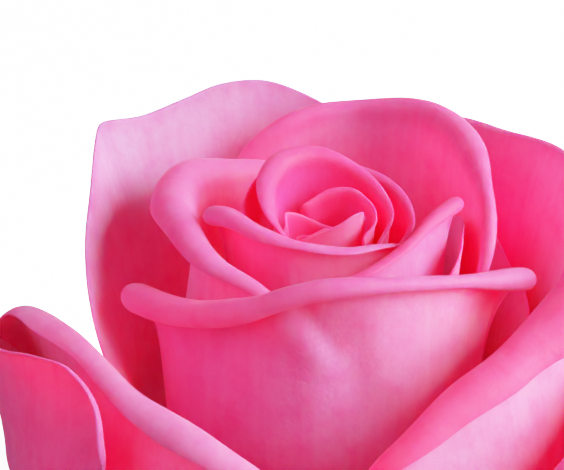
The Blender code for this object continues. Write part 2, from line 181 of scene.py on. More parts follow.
def petal_sheet(rim, belly, roll=(0.8,), turn=(90,), flap=(0,), lean=(5,), spread=0.45, belly_rise=13.0,
                centre=(0, 0), pitch=0.9):
    """The petal's middle surface, the share across, and the distances below the roll and up from the claw."""
    share = claw_share(rim, centre)
    line, length = smooth_line(rim)
    place = between_edges(length[-1], pitch)
    across = place / length[-1]
    axis = np.stack([np.interp(place, length, line[:, k]) for k in range(3)], axis=1)
    radius = spaced(roll, across)
    near_end = np.minimum(np.minimum(place, length[-1] - place) / (TIP_LENGTH * radius), 1)
    full = np.sqrt(1 - (1 - near_end) ** 2)
    inset = radius * (TIP_INSET + (1 - TIP_INSET) * full)
    radius = radius * (TIP_SHARE + (1 - TIP_SHARE) * full)
    turned = np.radians(spaced(turn, across))
    flapped = spaced(flap, across)
    leaned = np.radians(spaced(lean, across))
    middle = np.array([*centre, 0.0])

    # The body ends where the roll begins, one roll radius inside the rim line.
    radial = unit((axis - middle) * (1, 1, 0))
    climb = np.cos(leaned)[:, None] * np.array([0, 0, 1.0]) + np.sin(leaned)[:, None] * radial
    outward = np.cross(unit(np.gradient(axis, place, axis=0)), climb)
    outward = unit(outward * np.sign((outward * radial).sum(1, keepdims=True)))
    end = axis - inset[:, None] * outward
    end_r = np.hypot(*(end - middle)[:, :2].T)
    end_z = end[:, 2]
    end_a = np.unwrap(np.arctan2(end[:, 1] - middle[1], end[:, 0] - middle[0]))

    # The body swells from the claw to the belly, then stands up or leans out to where the roll begins.
    claw_r, claw_z = dome_point(share, CLAW_CLEARANCE)
    way = np.sign(end_a[-1] - end_a[0])
    claw_a = (end_a[0] + end_a[-1]) / 2 + way * math.radians(CLAW_HALF_WIDTH) * (2 * across - 1)
    belly_z = claw_z + np.minimum(belly_rise, HIGHEST_BELLY * (end_z - claw_z))
    lift = belly_z - claw_z
    upper = end_z - belly_z
    overhang = np.maximum(end_r - belly, LEAST_OVERHANG)
    handle = np.minimum(RIM_EASE * upper, overhang / np.maximum(np.sin(leaned), LEAST_LEAN))
    low = np.linspace(0, 1, LOWER_ROWS + 1)[:-1, None]
    high = np.linspace(0, 1, UPPER_ROWS + 1)[:, None]
    r = np.concatenate([
        bezier((claw_r, claw_r + CLAW_FLARE * (belly - claw_r), belly, belly), low + 0 * across),
        bezier((belly, belly, end_r - handle * np.sin(leaned), end_r), high)])
    z = np.concatenate([
        bezier((claw_z, claw_z + CLAW_RISE * lift, belly_z - BELLY_EASE * lift, belly_z), low),
        bezier((belly_z, belly_z + BELLY_STRETCH * upper, end_z - handle * np.cos(leaned), end_z), high)])
    rise = np.concatenate([low / 2, 0.5 + high / 2])
    a = claw_a + (end_a - claw_a) * (1 - (1 - rise) ** (1 / spread))
    body = np.stack([r * np.cos(a) + middle[0] * rise, r * np.sin(a) + middle[1] * rise, z + 0 * a], axis=2)

    # The roll turns from upright to outward and down again, and its turns tighten a little.
    tangent = unit(np.gradient(axis, place, axis=0))
    onward = unit(climb - (climb * tangent).sum(1, keepdims=True) * tangent)
    outward = np.cross(tangent, onward)
    outward = outward * np.sign((outward * radial).sum(1, keepdims=True))
    point = end
    walked = [point]
    for step in range(ROLL_STEPS):
        s = (step + 0.5) / ROLL_STEPS
        angle = (turned * s)[:, None]
        stride = (turned * radius * (1 - ROLL_TIGHTENING * s) + flapped * 2 * s) / ROLL_STEPS
        point = point + stride[:, None] * (np.cos(angle) * onward + np.sin(angle) * outward)
        walked.append(point)
    walked = np.array(walked)
    roll_length = float(np.linalg.norm(np.diff(walked, axis=0), axis=2).sum(0).mean())
    edge = 1 - np.array(EDGE_STEPS)[::-1] / roll_length
    stops = np.concatenate([np.linspace(0, edge[0], ROLL_ROWS)[1:-1], edge]) * ROLL_STEPS
    left = np.clip(stops.astype(int), 0, ROLL_STEPS - 1)
    rolled = walked[left] + (walked[left + 1] - walked[left]) * (stops - left)[:, None, None]
    grid = np.concatenate([body, rolled])
    up = np.concatenate([[0 * across], np.cumsum(np.linalg.norm(np.diff(grid, axis=0), axis=2), axis=0)])
    below = up[len(body) - 1] - up
    return grid, across, below, up


def dented(grid, across, below, dents, folds, seed):
    """The middle surface with its soft dents, its sharper folds and a faint unevenness of growth."""
    width = np.linalg.norm(np.diff(grid[-1], axis=0), axis=1).sum()
    push = 0 * below
    for share, depth_below, wide, tall, height in dents:
        reach = ((across - share) * width / wide) ** 2 + ((below - depth_below) / tall) ** 2
        push = push + height * np.exp(-reach)
    x = across * width + 0 * below
    for (share_a, below_a), (share_b, below_b), wide, height in folds:
        start = np.array([share_a * width, below_a])
        run = np.array([share_b * width, below_b]) - start
        t = np.clip(((x - start[0]) * run[0] + (below - start[1]) * run[1]) / (run @ run), 0, 1)
        away = np.hypot(x - start[0] - t * run[0], below - start[1] - t * run[1])
        push = push + height * np.exp(-(away / wide) ** 2) * np.sin(math.pi * t)
    draw = np.random.default_rng(seed)
    fade = np.exp(-np.maximum(below, 0) / UNEVEN_DEPTH) * min(1, width / UNEVEN_WIDTH)
    for waves in UNEVEN_WAVES:
        turn_a, turn_b = draw.uniform(0, 2 * math.pi, 2)
        bend = UNEVEN_BEND * np.sin(turn_b + UNEVEN_BEND_RATE * below)
        wave = np.sin(2 * math.pi * waves * across + turn_a + UNEVEN_SLANT * below + bend)
        push = push + UNEVENNESS / math.sqrt(waves) * fade * wave
    return grid + outward_normals(grid) * push[:, :, None]


def add_mesh(name, points, faces):
    """A mesh object of points, in millimetres, and faces."""
    mesh = bpy.data.meshes.new(name)
    mesh.from_pydata((np.array(points, float) * MM).tolist(), [], faces)
    mesh.update()
    obj = bpy.data.objects.new(name, mesh)
    bpy.context.scene.collection.objects.link(obj)
    return obj


def lay_sheet(name, grid, across, up, below):
    """The middle surface as one layer of faces that look outward, with its map, edges and roll marked."""
    rows, columns, _ = grid.shape
    row, column = rows // 2, columns // 2
    middle = grid[row, column]
    facing = np.cross(grid[row, column + 1] - middle, grid[row + 1, column] - middle)
    outside = (facing * outward_normals(grid)[row, column]).sum() > 0
    faces = []
    for row in range(rows - 1):
        for column in range(columns - 1):
            a = row * columns + column
            face = (a, a + 1, a + columns + 1, a + columns)
            faces.append(face if outside else face[::-1])
    obj = add_mesh(name, grid.reshape(-1, 3), faces)
    steps = np.linalg.norm(np.diff(grid, axis=1), axis=2)
    side = np.concatenate([np.zeros((rows, 1)), np.cumsum(steps, axis=1)], axis=1)
    from_edge = np.minimum(np.minimum(up, up[-1] - up), np.minimum(side, side[:, -1:] - side))
    blunt = np.sqrt(1 - (1 - np.clip(from_edge / BLUNT_EDGE, 0, 1)) ** 2)
    for label, values in (("fullness", blunt), ("below roll", below)):
        attribute = obj.data.attributes.new(label, "FLOAT", "POINT")
        attribute.data.foreach_set("value", values.astype(np.float32).ravel())
    spot = np.stack([across + 0 * up, up / up[-1]], axis=2).reshape(-1, 2)
    layer = obj.data.uv_layers.new(name="petal")
    corners = np.zeros(len(obj.data.loops), np.int32)
    obj.data.loops.foreach_get("vertex_index", corners)
    layer.data.foreach_set("uv", spot[corners].astype(np.float32).ravel())
    return obj


def add_node(tree, kind, values=(), **properties):
    """A new node of the tree with its properties, and with the values of its named inputs."""
    node = tree.nodes.new(kind)
    for key, value in properties.items():
        setattr(node, key, value)
    for key, value in dict(values).items():
        node.inputs[key].default_value = value
    return node


def join(tree, *pairs):
    """Links each pair of an output and an input."""
    for output, entry in pairs:
        tree.links.new(output, entry)


def sum_up(tree, operation, *terms):
    """The result of a sum in the tree, whose terms are numbers or the outputs of other nodes."""
    node = add_node(tree, "ShaderNodeMath", operation=operation)
    for place, term in enumerate(terms):
        if isinstance(term, bpy.types.NodeSocket):
            tree.links.new(term, node.inputs[place])
        else:
            node.inputs[place].default_value = term
    return node.outputs["Value"]


def new_tree(name, inputs, output):
    """A tree with inputs of the given kinds by name, and one shape as its output."""
    tree = bpy.data.node_groups.new(name, "GeometryNodeTree")
    for label, kind in inputs.items():
        tree.interface.new_socket(name=label, in_out="INPUT", socket_type="NodeSocket" + kind)
    tree.interface.new_socket(name=output, in_out="OUTPUT", socket_type="NodeSocketGeometry")
    return tree, tree.nodes.new("NodeGroupInput"), tree.nodes.new("NodeGroupOutput")


def skin_tree():
    """A tree that thickens a sheet to both sides, thins it to nothing at its edges and closes them."""
    tree, entry, exit_node = new_tree("Petal skin", {
        "Sheet": "Geometry", "Thickness": "Float", "Rib Height": "Float", "Ribs Across": "Float",
        "Ribs Along": "Float", "Seed": "Float", "Finish": "Material"}, "Petal")
    place = add_node(tree, "GeometryNodeInputNamedAttribute", {"Name": "petal"}, data_type="FLOAT_VECTOR")
    full = add_node(tree, "GeometryNodeInputNamedAttribute", {"Name": "fullness"}, data_type="FLOAT")
    normal = add_node(tree, "GeometryNodeInputNormal")

    # Low ribs fan out from the claw, more of them the wider the petal is.
    stretch = add_node(tree, "ShaderNodeCombineXYZ")
    fan = add_node(tree, "ShaderNodeVectorMath", operation="MULTIPLY")
    ribs = add_node(tree, "ShaderNodeTexNoise", {"Scale": 1.0, "Detail": 1.0}, noise_dimensions="4D")
    level = sum_up(tree, "SUBTRACT", ribs.outputs["Fac"], 0.5)
    lift = add_node(tree, "ShaderNodeVectorMath", operation="SCALE")
    ribbed = add_node(tree, "GeometryNodeSetPosition")
    join(tree,
         (entry.outputs["Ribs Across"], stretch.inputs["X"]),
         (entry.outputs["Ribs Along"], stretch.inputs["Y"]),
         (place.outputs["Attribute"], fan.inputs[0]),
         (stretch.outputs["Vector"], fan.inputs[1]),
         (fan.outputs["Vector"], ribs.inputs["Vector"]),
         (entry.outputs["Seed"], ribs.inputs["W"]),
         (normal.outputs["Normal"], lift.inputs[0]),
         (sum_up(tree, "MULTIPLY", level, entry.outputs["Rib Height"]), lift.inputs["Scale"]),
         (entry.outputs["Sheet"], ribbed.inputs["Geometry"]),
         (lift.outputs["Vector"], ribbed.inputs["Offset"]))

    # Each face lies half the thickness off the middle, and both meet where the sheet thins to nothing.
    walls = []
    for share in (0.5, -0.5):
        half = sum_up(tree, "MULTIPLY", entry.outputs["Thickness"], share)
        shift = add_node(tree, "ShaderNodeVectorMath", operation="SCALE")
        wall = add_node(tree, "GeometryNodeSetPosition")
        mark = add_node(tree, "GeometryNodeStoreNamedAttribute", {"Name": "outer face", "Value": 0.5 + share},
                        data_type="FLOAT", domain="FACE")
        join(tree,
             (normal.outputs["Normal"], shift.inputs[0]),
             (sum_up(tree, "MULTIPLY", half, full.outputs["Attribute"]), shift.inputs["Scale"]),
             (ribbed.outputs["Geometry"], wall.inputs["Geometry"]),
             (shift.outputs["Vector"], wall.inputs["Offset"]),
             (wall.outputs["Geometry"], mark.inputs["Geometry"]))
        walls.append(mark)
    flip = add_node(tree, "GeometryNodeFlipFaces")
    both = add_node(tree, "GeometryNodeJoinGeometry")
    seal = add_node(tree, "GeometryNodeMergeByDistance", {"Distance": SEAM_REACH * MM})
    smooth = add_node(tree, "GeometryNodeSetShadeSmooth")
    real = add_node(tree, "GeometryNodeRealizeInstances")
    finish = add_node(tree, "GeometryNodeSetMaterial")
    join(tree,
         (walls[1].outputs["Geometry"], flip.inputs["Mesh"]),
         (walls[0].outputs["Geometry"], both.inputs["Geometry"]),
         (flip.outputs["Mesh"], both.inputs["Geometry"]),
         (both.outputs["Geometry"], seal.inputs["Geometry"]),
         (seal.outputs["Geometry"], smooth.inputs["Geometry"]),
         (smooth.outputs["Geometry"], real.inputs["Geometry"]),
         (real.outputs["Geometry"], finish.inputs["Geometry"]),
         (entry.outputs["Finish"], finish.inputs["Material"]),
         (finish.outputs["Geometry"], exit_node.inputs["Petal"]))
    return tree


def grow(obj, tree, values):
    """Runs the tree on the object with its named inputs' values, and keeps the result as a plain mesh."""
    modifier = obj.modifiers.new(tree.name, "NODES")
    modifier.node_group = tree
    for item in tree.interface.items_tree:
        if item.in_out == "INPUT" and item.name in values:
            modifier[item.identifier] = values[item.name]
    graph = bpy.context.evaluated_depsgraph_get()
    made = bpy.data.meshes.new_from_object(obj.evaluated_get(graph))
    obj.modifiers.clear()
    obj.data = made


def new_finish(name, values):
    """A new material with the values of its shader's own inputs, and its tree and shader."""
    material = bpy.data.materials.new(name)
    material.use_nodes = True
    shader = material.node_tree.nodes["Principled BSDF"]
    for key, value in values.items():
        shader.inputs[key].default_value = value
    return material, material.node_tree, shader


def eased(tree, begins, full, most=1.0):
    """A node that rises softly from 0 where its value begins to the most where it is full."""
    return add_node(tree, "ShaderNodeMapRange", {"From Min": begins, "From Max": full, "To Max": most},
                    interpolation_type="SMOOTHSTEP")


def tinted(tree, tint):
    """A node that multiplies a colour by a tint, as far as its factor says."""
    return add_node(tree, "ShaderNodeMix", {"B": tint}, data_type="RGBA", blend_type="MULTIPLY")


def two_colours(tree, *stops):
    """A node that runs from one colour to another between two places, each given with its colour."""
    node = add_node(tree, "ShaderNodeValToRGB")
    for stop, (place, colour) in zip(node.color_ramp.elements, stops):
        stop.position = place
        stop.color = (*colour, 1)
    return node


def petal_finish(name, rim, face, base, inner_tint_and_shade, veins, painted_side_shade):
    """Velvety petal: its base fades to the claw, its colour changes to the rim's over the roll, a painted
    shade deepens one side of the face, its inner face is deepened by its own pink and by painted shade, and
    fine veins fan out along it.
    """
    material, tree, shader = new_finish(name, VELVET)

    # The colour runs from the claw to the face, and changes to the rim's over the roll.
    place = add_node(tree, "ShaderNodeUVMap", uv_map="petal")
    parts = add_node(tree, "ShaderNodeSeparateXYZ")
    run = two_colours(tree, (0.0, base), (FACE_BEGINS, face))
    below = add_node(tree, "ShaderNodeAttribute", attribute_name="below roll")
    on_roll = eased(tree, RIM_BEGINS, RIM_FULL)
    rimmed = add_node(tree, "ShaderNodeMix", {"B": (*rim, 1)}, data_type="RGBA")

    # A painted shade deepens the face towards the side where the rim's line begins, the side that turns from
    # the light.
    shade_to_side = eased(tree, SIDE_SHADE_BEGINS, SIDE_SHADE_FULL, painted_side_shade)
    side_shaded = tinted(tree, SIDE_SHADE_TINT)

    # Below the roll, the inner face is a deeper pink than the outer one, partly its own colour and partly
    # painted shade for the hollow between the petals, and both are softly blotched.
    side = add_node(tree, "ShaderNodeAttribute", attribute_name="outer face")
    depth = add_node(tree, "ShaderNodeMapRange", {"From Min": 1.0, "From Max": 0.0, "To Max": inner_tint_and_shade})
    below_roll = eased(tree, DEPTH_BEGINS, DEPTH_FULL)
    deepened = sum_up(tree, "MULTIPLY", depth.outputs["Result"], below_roll.outputs["Result"])
    sided = tinted(tree, INNER_TINT_AND_SHADE)
    solid = add_node(tree, "ShaderNodeTexCoord")
    mottle = add_node(tree, "ShaderNodeTexNoise", {"Scale": 240.0, "Detail": 5.0, "Roughness": 0.65})
    mottle_range = add_node(tree, "ShaderNodeMapRange", {"From Min": 0.42, "From Max": 0.72, "To Max": 0.75})
    mottled = tinted(tree, MOTTLE)

    # The veins are a deeper pink, narrow across the petal and long up it.
    spread_out = add_node(tree, "ShaderNodeMapping", {"Scale": (veins, VEIN_BREAKS, 1)})
    vein = add_node(tree, "ShaderNodeTexNoise", {"Scale": 1.0, "Detail": 3.0, "Roughness": 0.5})
    vein_range = add_node(tree, "ShaderNodeMapRange", {"From Min": 0.7, "From Max": 0.3, "To Max": 0.4})
    veined = tinted(tree, VEIN)

    # A fine nap covers the petal, over a low relief that follows the blotches.
    down = add_node(tree, "ShaderNodeTexNoise", {"Scale": 2600.0, "Detail": 2.0})
    nap = add_node(tree, "ShaderNodeBump", {"Strength": 0.12, "Distance": 0.05 * MM})
    relief = add_node(tree, "ShaderNodeBump", {"Strength": 0.6, "Distance": 0.4 * MM})
    join(tree,
         (place.outputs["UV"], parts.inputs["Vector"]),
         (parts.outputs["Y"], run.inputs["Fac"]),
         (parts.outputs["X"], shade_to_side.inputs["Value"]),
         (shade_to_side.outputs["Result"], side_shaded.inputs["Factor"]),
         (run.outputs["Color"], side_shaded.inputs["A"]),
         (side_shaded.outputs["Result"], rimmed.inputs["A"]),
         (below.outputs["Fac"], on_roll.inputs["Value"]),
         (on_roll.outputs["Result"], rimmed.inputs["Factor"]),
         (side.outputs["Fac"], depth.inputs["Value"]),
         (below.outputs["Fac"], below_roll.inputs["Value"]),
         (deepened, sided.inputs["Factor"]),
         (rimmed.outputs["Result"], sided.inputs["A"]),
         (sided.outputs["Result"], mottled.inputs["A"]),
         (solid.outputs["Object"], mottle.inputs["Vector"]),
         (mottle.outputs["Fac"], mottle_range.inputs["Value"]),
         (mottle_range.outputs["Result"], mottled.inputs["Factor"]),
         (place.outputs["UV"], spread_out.inputs["Vector"]),
         (spread_out.outputs["Vector"], vein.inputs["Vector"]),
         (vein.outputs["Fac"], vein_range.inputs["Value"]),
         (mottled.outputs["Result"], veined.inputs["A"]),
         (vein_range.outputs["Result"], veined.inputs["Factor"]),
         (veined.outputs["Result"], shader.inputs["Base Color"]),
         (solid.outputs["Object"], down.inputs["Vector"]),
         (down.outputs["Fac"], nap.inputs["Height"]),
         (mottle.outputs["Fac"], relief.inputs["Height"]),
         (nap.outputs["Normal"], relief.inputs["Normal"]),
         (relief.outputs["Normal"], shader.inputs["Normal"]))
    return material


# The petals' skin: the reach over which its two faces are sealed at the edges, how high its ribs are,
# how far apart ribs and veins lie across it and how often they break along it.
SEAM_REACH = 0.002
RIB_HEIGHT = 0.1
RIB_SPACING = 3.2
RIB_BREAKS = 1.6
VEIN_SPACING = 1.4
VEIN_BREAKS = 2.2

# The petals' colours: where each begins and is full, in shares along or across the petal or in
# millimetres below the roll, and the tints that deepen it there.
FACE_BEGINS = 0.2
RIM_BEGINS, RIM_FULL = 2.5, -1.0
DEPTH_BEGINS, DEPTH_FULL = -1.8, 1.0
# The painted side shade: where it begins and is full, in shares across the petal, and its tint.
SIDE_SHADE_BEGINS, SIDE_SHADE_FULL = 0.9, 0.1
SIDE_SHADE_TINT = (1.0, 0.4, 0.68, 1)
# The inner face's tint, partly its own deeper pink and partly painted shade.
INNER_TINT_AND_SHADE = (1.0, 0.2, 0.5, 1)
MOTTLE = (1.0, 0.55, 0.75, 1)
VEIN = (1.0, 0.6, 0.78, 1)
VELVET = {
    "Roughness": 0.55, "Specular IOR Level": 0.2, "Sheen Weight": 0.06, "Sheen Roughness": 0.5,
    "Sheen Tint": (1.0, 0.75, 0.88, 1), "Subsurface Weight": 1.0, "Subsurface Radius": (3.0, 0.15, 0.5),
    "Subsurface Scale": 1.6 * MM}

petal_skin = skin_tree()


def petal(name, rim, belly, pinks, painted_side_shade=0.0, dents=(), folds=(), **form):
    """One finished petal in place of its plain solid.

    pinks are the colours of its rim, its face and its base, and how far its inner face is deepened, by its
    own deeper pink and by painted shade.
    """
    seed = len(claws)
    grid, across, below, up = petal_sheet(rim, belly, **form)
    grid = dented(grid, across, below, dents, folds, seed)
    width = np.linalg.norm(np.diff(grid[-1], axis=0), axis=1).sum()
    obj = lay_sheet(name + "_bloom", grid, across, up, below)
    grow(obj, petal_skin, {
        "Thickness": PETAL_THICKNESS * MM,
        "Rib Height": RIB_HEIGHT * MM,
        "Ribs Across": width / RIB_SPACING,
        "Ribs Along": RIB_BREAKS,
        "Seed": float(seed),
        "Finish": petal_finish(name, *pinks, veins=width / VEIN_SPACING, painted_side_shade=painted_side_shade)})
    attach(obj, "root")
    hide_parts(name)


# Their inner faces are deepened in full below the roll, partly painted shade for the shaded hollow of the
# heart.
HEART_PINKS = ((0.98, 0.12, 0.34), (0.98, 0.18, 0.42), (0.97, 0.4, 0.5), 1.0)

petal("petal_heart_curl",
      [(-3.6, -2.3, 54.6), (-1.6, -2.8, 54.8), (0, -2.3, 55.2), (1.3, -1.5, 55.6)],
      belly=3.1, pinks=HEART_PINKS, turn=(40,), centre=(-0.8, 0.6), pitch=0.5)
petal("petal_heart_left",
      [(1.8, 1.7, 54.4), (0, 2.3, 54.6), (-1.6, 2.3, 55.3), (-3.8, 1.6, 56.5), (-5.6, 0, 57.2),
       (-5.6, -2.2, 56)],
      belly=4.3, pinks=HEART_PINKS, turn=(40,), centre=(-1, -0.5), pitch=0.5)
petal("petal_heart_front",
      [(-3.4, -4.4, 54.6), (0, -4.9, 56.2), (2.3, -4.7, 57.2), (4.4, -3.9, 58.2), (5.8, -2.7, 58.3),
       (6.1, -1.2, 57.2)],
      belly=4.9, pinks=HEART_PINKS, turn=(50,), pitch=0.5)
petal("petal_heart_right",
      [(5.8, -5.6, 56), (7.5, -3.2, 56.8), (7.6, -1, 57.6), (6.5, 2, 57.9), (4.2, 4.5, 58.5),
       (1.1, 5, 58.2), (-2.8, 3.7, 56.5)],
      belly=6.2, pinks=HEART_PINKS, turn=(60, 80, 60), pitch=0.5)

# The bud
# Four petals wound round the heart, whose rims have begun to roll outward.
# The tallest stands like a hood behind the heart, and the front one lies across it.
# Their inner faces are deepened in full below the roll, partly painted shade for the shaded hollow inside the
# bud.
BUD_PINKS = ((0.97, 0.075, 0.26), (0.99, 0.15, 0.40), (0.97, 0.4, 0.5), 1.0)

petal("petal_bud_eye",
      [(7.8, -6.6, 55), (9.6, -1.8, 57.3), (8.5, 2.8, 58.3), (5.6, 6.6, 59.8), (0, 8.4, 61.8),
       (-5, 6.9, 61.8), (-7.9, 2, 60.3), (-7.6, -4, 58), (-5, -7.5, 56)],
      belly=8.5, pinks=BUD_PINKS, roll=(0.8, 0.8, 1.1, 1.8, 2.0, 1.2), turn=(90, 120, 130, 120, 90),
      lean=(5, 5, 12, 15, 5), belly_rise=12.0, pitch=0.6)
petal("petal_bud_right",
      [(10.3, -5.6, 54), (12.3, -2, 55.3), (12.3, 2, 56.3), (9.7, 7.6, 57.5), (5, 10.4, 58.7),
       (0, 10.6, 59.8), (-3, 10.2, 57)],
      belly=10.0, pinks=BUD_PINKS, roll=(0.8, 1.0, 0.8), turn=(90, 120, 90), pitch=0.6)
petal("petal_bud_left",
      [(-3, 12.2, 56), (-6, 10.7, 58.8), (-9, 7.8, 59.1), (-11.1, 2, 58.1), (-10.9, -3, 57.7),
       (-8.6, -7.2, 55)],
      belly=10.8, pinks=BUD_PINKS, turn=(40,), pitch=0.6)

# The front petal is paler, with a painted shade to its left.
FRONT_BUD_PINKS = ((0.98, 0.12, 0.35), (0.99, 0.23, 0.47), (0.97, 0.4, 0.5), 1.0)

petal("petal_bud_front",
      [(-15.4, -3.6, 58.7), (-12.4, -6.7, 59.9), (-8.2, -10.2, 59), (-3, -12.2, 58.2),
       (3.5, -12.2, 57.2), (9.0, -9.6, 56.6), (11.8, -6.9, 55)],
      belly=12.4, pinks=FRONT_BUD_PINKS, painted_side_shade=1.0, roll=(1.4, 1.15, 1.0), turn=(220, 170, 110),
      lean=(50, 5, 5), folds=[((0.42, 1.5), (0.44, 14), 0.8, 0.5)], pitch=0.6)

# The cup
# Five broad petals whose rolled rims lie over each other round the bud, pale where they catch the light.
# The front one wraps the whole cup, with a rounded roll like a finger at each end.
CUP_PINKS = ((0.98, 0.12, 0.34), (0.99, 0.19, 0.45), (0.97, 0.5, 0.55), 0.2)

petal("petal_cup_right",
      [(-3.4, -15.6, 50), (0, -16.4, 54), (4.8, -15.4, 55.2), (10.9, -11.2, 57.4), (14.5, -7.2, 59.5),
       (18.4, -3, 60.6)],
      belly=16.2, pinks=BUD_PINKS, roll=(1.0, 1.0, 1.1), turn=(160, 160, 200), lean=(5, 5, 30))
petal("petal_cup_hidden",
      [(14.6, -12.2, 48), (18.7, -7.6, 54), (19.7, -2, 55.4), (19.5, 3.6, 54.8), (16.8, 10.4, 50.5)],
      belly=17.8, pinks=CUP_PINKS, turn=(40,))
petal("petal_cup_left",
      [(-3, 18.2, 51), (-7.4, 17.4, 54.6), (-12.8, 15, 55.5), (-18.8, 10, 56.9), (-20.6, 2, 56.9),
       (-18.8, -6, 57), (-15, -12.2, 55.5), (-9.2, -16.2, 54), (-4.8, -17.4, 51)],
      belly=19.4, pinks=CUP_PINKS, roll=(1.6, 3.2, 3.4, 2.2, 1.2), turn=(150, 170, 180), lean=(5, 15, 10))
petal("petal_cup_back",
      [(19.9, -7.6, 46.5), (22, -5.4, 52.8), (22.6, -2.5, 57), (22.4, 2, 59.2), (20.8, 11, 61.8),
       (15.4, 20, 62.8), (6.9, 24, 61.8), (-1, 23.8, 61), (-6.4, 22, 59), (-9.9, 21.1, 56),
       (-12.6, 19.4, 51)],
      belly=20.9, pinks=CUP_PINKS, roll=(0.8, 1.1, 1.9, 1.8, 1.6, 1.4), turn=(170, 150, 120))

# The front petal's face is painted paler than the others', a painted highlight for the light on its right,
# and a painted shade deepens it to its left.
FRONT_CUP_LIT_PINKS = ((0.98, 0.12, 0.34), (0.99, 0.25, 0.50), (0.97, 0.5, 0.55), 0.2)

petal("petal_cup_front",
      [(-26.4, -7.6, 49.2), (-21.3, -13, 49.6), (-15.5, -17.5, 50.8), (-9.5, -20.5, 53.2),
       (-4.4, -22.2, 55.9), (1.4, -22.7, 57.6), (8.5, -21.2, 57.4), (16.5, -17, 55.6),
       (23.4, -12, 53.3), (27.8, -8.5, 51.8)],
      belly=22.4, pinks=FRONT_CUP_LIT_PINKS, painted_side_shade=1.0, roll=(2.4, 2.3, 1.9, 1.3, 1.3, 1.4), turn=(230, 220, 230),
      lean=(65, 0, 0, 0, 65), spread=0.3,
      dents=[(0.47, 20, 2.6, 8, 0.35)],
      folds=[((0.34, -1), (0.56, 15), 1.9, 0.6), ((0.42, -1), (0.54, 11), 1.1, -0.6),
             ((0.52, 2), (0.62, 26), 3.4, -0.9)])

# The outer petals
# Three large petals stand open behind and beside the cup. Their inner faces catch the light,
# and their thin rims turn outward only a little, with a corner at the left.
OUTER_PINKS = ((0.99, 0.18, 0.42), (0.99, 0.26, 0.51), (0.97, 0.55, 0.58), 0.2)

petal("petal_outer_shadow",
      [(27.8, -6.4, 39), (28.7, -4, 43), (28.4, -1, 45.2), (27.4, 2.2, 46.2), (26.2, 5.4, 47.4),
       (24.8, 8.4, 49.2), (23, 11.6, 50.6), (20, 15.6, 50.4), (16.6, 19, 48), (14, 21.6, 43)],
      belly=24.2, pinks=OUTER_PINKS, turn=(30,))
petal("petal_outer_left",
      [(10, 25.6, 47), (6.6, 27, 55), (1.4, 28, 59.9), (-2.8, 29, 61.9), (-8.2, 29, 63.7),
       (-14.2, 27, 64), (-19.3, 24.2, 62.9), (-25.2, 20, 62.1), (-30.5, 15, 63.5), (-31, 14.2, 63.3),
       (-31.9, 6, 57.6), (-32.3, -2, 53.4), (-31.6, -8.6, 48.8), (-30.2, -12.4, 44), (-27, -15.2, 36)],
      belly=26.0, pinks=OUTER_PINKS, roll=(0.8, 0.8, 0.8, 0.8, 0.8, 1.0, 0.8),
      turn=(45, 45, 45, 45, 50, 60, 50), lean=(15, 20, 15))
petal("petal_outer_right",
      [(29, -11.6, 40), (31.8, -8.4, 48.5), (34.8, -4, 56), (36, 3, 60.4), (33.2, 11, 61),
       (26, 20, 59.7), (18.9, 25, 59.4), (12, 28.6, 56), (6, 30, 50), (2, 30.6, 43)],
      belly=29.6, pinks=OUTER_PINKS, turn=(80,), lean=(20, 20, 15))

# The folded petals
# Two petals cross in front of the cup. Each is folded over along a thick soft crest,
# and the flap of the right one ends in a point.
FOLD_PINKS = ((0.98, 0.10, 0.29), (0.99, 0.22, 0.47), (0.97, 0.65, 0.62), 0.2)

petal("petal_fold_right",
      [(6, -32, 33), (9, -32.6, 37), (12.8, -31.2, 39.8), (18, -27.6, 42.8), (23.4, -23.6, 45.4),
       (29, -18.2, 48.6), (35.6, -12.4, 53), (41.4, -5, 53.5), (43.4, 5, 50), (40, 15, 43)],
      belly=34.6, pinks=FOLD_PINKS, roll=(2.0, 3.2, 3.4, 3.4, 2.6), turn=(150,),
      flap=(0, 1, 2, 5, 1, 0, 0), lean=(20,), spread=0.3, belly_rise=9.5)

# The left one's crest is painted paler, a painted highlight for the light on it.
LEFT_FOLD_LIT_PINKS = ((0.99, 0.18, 0.40), (0.99, 0.22, 0.48), (0.97, 0.65, 0.62), 0.2)

petal("petal_fold_left",
      [(-40, 5.5, 31), (-40.4, 1.8, 36.4), (-40.4, -2.2, 41.4), (-39.2, -5.8, 45.2),
       (-34.8, -12.6, 45.4), (-30.2, -19, 43.4), (-25.9, -24.2, 41.2), (-21.2, -28, 39.4),
       (-16, -31, 37.6), (-11.4, -33, 35.6), (-5.7, -34.5, 32)],
      belly=32.6, pinks=LEFT_FOLD_LIT_PINKS, roll=(0.8, 0.9, 2.2, 3.2, 2.8), turn=(95, 100, 140, 160, 150),
      flap=(1, 4.5, 3, 0, 0, 0, 0), lean=(20,), spread=0.24, centre=(-5.5, 0))

# The base petals
# The five outermost petals, short and broad, which cup all the others from below. Their pink is deep and
# dusky, partly painted shade for their outer faces turned from the light.
BASE_PINKS_AND_SHADE = ((0.97, 0.11, 0.32), (0.97, 0.11, 0.33), (0.97, 0.65, 0.62), 0.2)

